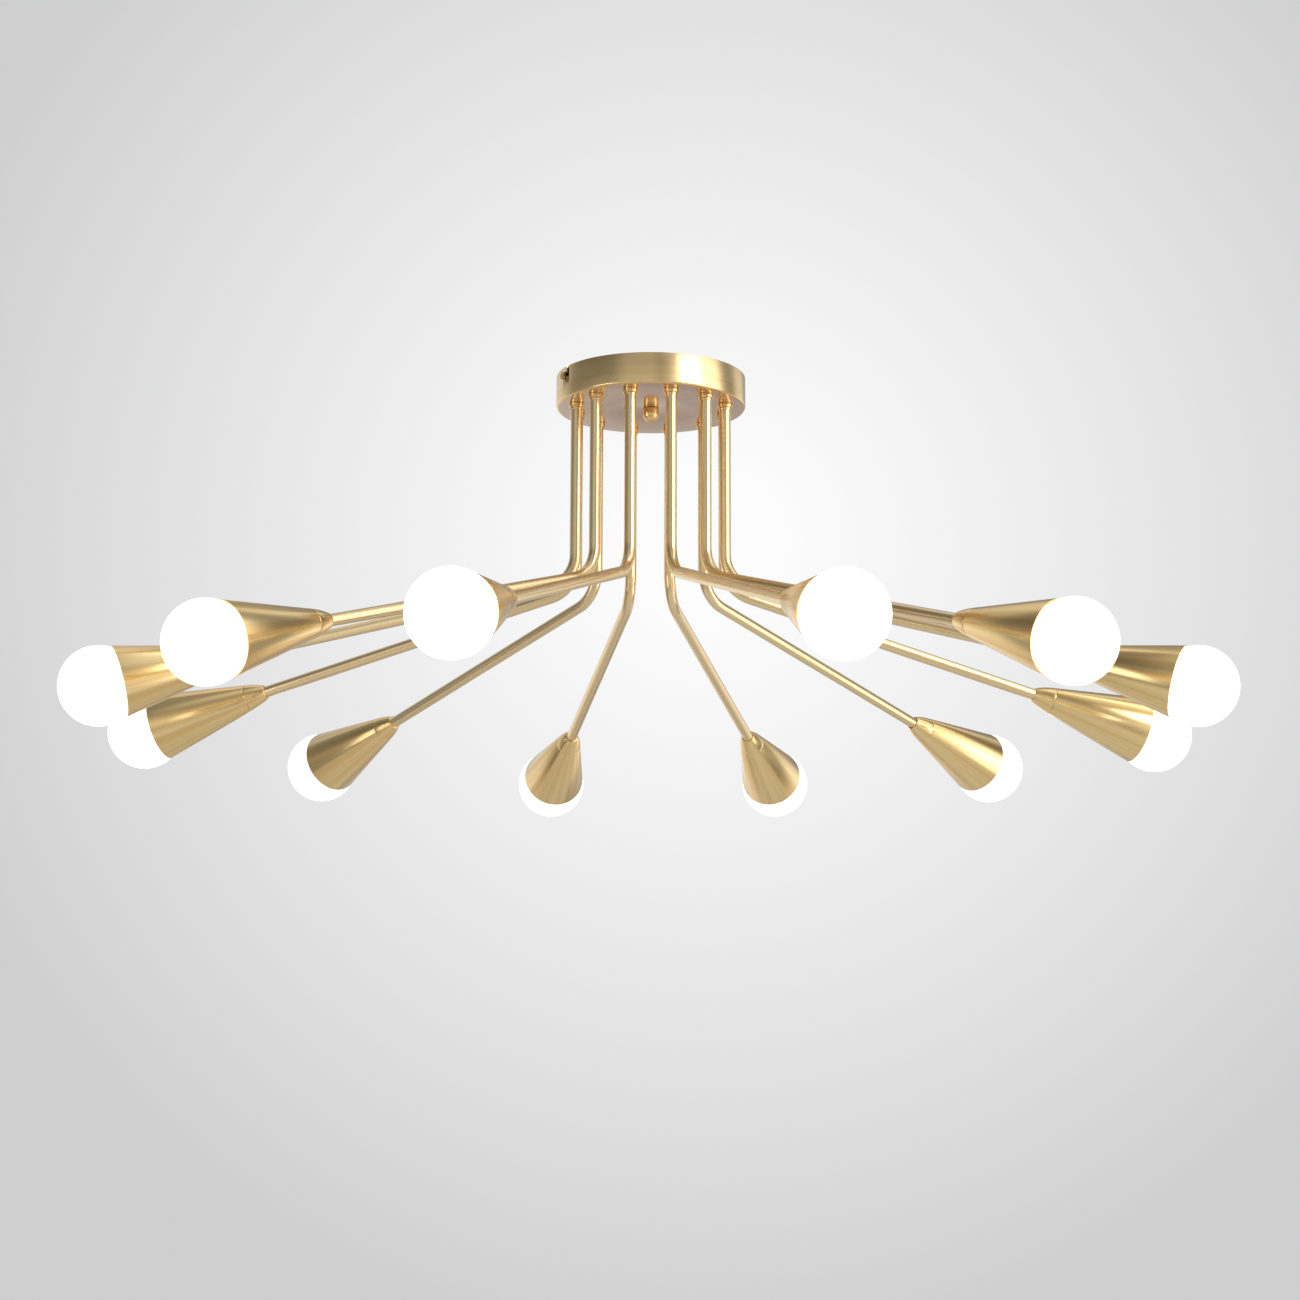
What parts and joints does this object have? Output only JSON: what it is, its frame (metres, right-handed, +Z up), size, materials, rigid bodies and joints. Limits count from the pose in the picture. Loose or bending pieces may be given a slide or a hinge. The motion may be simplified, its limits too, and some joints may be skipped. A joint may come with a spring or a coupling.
{
  "type": "multi arm chandelier",
  "caption": "Semi-flush ceiling light: a round brass canopy carries bent brass arms that splay outwards, each ending in a cone shade with an opal glass globe.",
  "frame": {"origin": "centre of the ceiling plane, where the bracket's top face meets the ceiling", "axes": "+Z up into the ceiling, -Y towards the room side between the two nearest arms, +X to the right seen from there"},
  "size_m": [1.1862, 1.1793, 0.4038],
  "materials": {
    "brushed_brass": "brushed",
    "polished_brass": "polished",
    "tube_brass": "satin",
    "shade_brass": "brushed",
    "brass_screw": "satin",
    "plated_steel": "zinc plated",
    "opal_glass": "opal, lit from inside",
    "holder_ceramic": "glazed white",
    "terminal_plastic": "moulded",
    "lead_sheath": "smooth sheath"
  },
  "bodies": {
    "ceiling_plate": {"canopy": "brushed_brass", "finial_nut": "polished_brass", "centre_stud": "plated_steel", "ceiling_bracket": "plated_steel", "side_screws": "brass_screw", "terminal_block": "terminal_plastic", "earth_terminal": "brass_screw", "wiring_loom": "lead_sheath", "arm_collars": "polished_brass", "arm_collar_steps": "polished_brass", "arm_washers": "plated_steel", "arm_nuts": "plated_steel"},
    "arm_01": {"arm_tube_01": "tube_brass", "cone_shade_01": "shade_brass", "glass_globe_01": "opal_glass", "arm_fittings_01": "holder_ceramic"},
    "arm_02": {"arm_tube_02": "tube_brass", "cone_shade_02": "shade_brass", "glass_globe_02": "opal_glass", "arm_fittings_02": "holder_ceramic"},
    "arm_03": {"arm_tube_03": "tube_brass", "cone_shade_03": "shade_brass", "glass_globe_03": "opal_glass", "arm_fittings_03": "holder_ceramic"},
    "arm_04": {"arm_tube_04": "tube_brass", "cone_shade_04": "shade_brass", "glass_globe_04": "opal_glass", "arm_fittings_04": "holder_ceramic"},
    "arm_05": {"arm_tube_05": "tube_brass", "cone_shade_05": "shade_brass", "glass_globe_05": "opal_glass", "arm_fittings_05": "holder_ceramic"},
    "arm_06": {"arm_tube_06": "tube_brass", "cone_shade_06": "shade_brass", "glass_globe_06": "opal_glass", "arm_fittings_06": "holder_ceramic"},
    "arm_07": {"arm_tube_07": "tube_brass", "cone_shade_07": "shade_brass", "glass_globe_07": "opal_glass", "arm_fittings_07": "holder_ceramic"},
    "arm_08": {"arm_tube_08": "tube_brass", "cone_shade_08": "shade_brass", "glass_globe_08": "opal_glass", "arm_fittings_08": "holder_ceramic"},
    "arm_09": {"arm_tube_09": "tube_brass", "cone_shade_09": "shade_brass", "glass_globe_09": "opal_glass", "arm_fittings_09": "holder_ceramic"},
    "arm_10": {"arm_tube_10": "tube_brass", "cone_shade_10": "shade_brass", "glass_globe_10": "opal_glass", "arm_fittings_10": "holder_ceramic"},
    "arm_11": {"arm_tube_11": "tube_brass", "cone_shade_11": "shade_brass", "glass_globe_11": "opal_glass", "arm_fittings_11": "holder_ceramic"},
    "arm_12": {"arm_tube_12": "tube_brass", "cone_shade_12": "shade_brass", "glass_globe_12": "opal_glass", "arm_fittings_12": "holder_ceramic"}
  },
  "joints": [
    {"name": "arm_swivel_01", "type": "hinge", "parent": "ceiling_plate", "child": "arm_01", "pos_m": [0.02109, -0.07872, -0.1], "axis": [0, 0, 1], "range_deg": [-8, 8]},
    {"name": "arm_swivel_02", "type": "hinge", "parent": "ceiling_plate", "child": "arm_02", "pos_m": [0.05763, -0.05763, -0.1], "axis": [0, 0, 1], "range_deg": [-8, 8]},
    {"name": "arm_swivel_03", "type": "hinge", "parent": "ceiling_plate", "child": "arm_03", "pos_m": [0.07872, -0.02109, -0.1], "axis": [0, 0, 1], "range_deg": [-8, 8]},
    {"name": "arm_swivel_04", "type": "hinge", "parent": "ceiling_plate", "child": "arm_04", "pos_m": [0.07872, 0.02109, -0.1], "axis": [0, 0, 1], "range_deg": [-8, 8]},
    {"name": "arm_swivel_05", "type": "hinge", "parent": "ceiling_plate", "child": "arm_05", "pos_m": [0.05763, 0.05763, -0.1], "axis": [0, 0, 1], "range_deg": [-8, 8]},
    {"name": "arm_swivel_06", "type": "hinge", "parent": "ceiling_plate", "child": "arm_06", "pos_m": [0.02109, 0.07872, -0.1], "axis": [0, 0, 1], "range_deg": [-8, 8]},
    {"name": "arm_swivel_07", "type": "hinge", "parent": "ceiling_plate", "child": "arm_07", "pos_m": [-0.02109, 0.07872, -0.1], "axis": [0, 0, 1], "range_deg": [-8, 8]},
    {"name": "arm_swivel_08", "type": "hinge", "parent": "ceiling_plate", "child": "arm_08", "pos_m": [-0.05763, 0.05763, -0.1], "axis": [0, 0, 1], "range_deg": [-8, 8]},
    {"name": "arm_swivel_09", "type": "hinge", "parent": "ceiling_plate", "child": "arm_09", "pos_m": [-0.07872, 0.02109, -0.1], "axis": [0, 0, 1], "range_deg": [-8, 8]},
    {"name": "arm_swivel_10", "type": "hinge", "parent": "ceiling_plate", "child": "arm_10", "pos_m": [-0.07872, -0.02109, -0.1], "axis": [0, 0, 1], "range_deg": [-8, 8]},
    {"name": "arm_swivel_11", "type": "hinge", "parent": "ceiling_plate", "child": "arm_11", "pos_m": [-0.05763, -0.05763, -0.1], "axis": [0, 0, 1], "range_deg": [-8, 8]},
    {"name": "arm_swivel_12", "type": "hinge", "parent": "ceiling_plate", "child": "arm_12", "pos_m": [-0.02109, -0.07872, -0.1], "axis": [0, 0, 1], "range_deg": [-8, 8]}
  ]
}
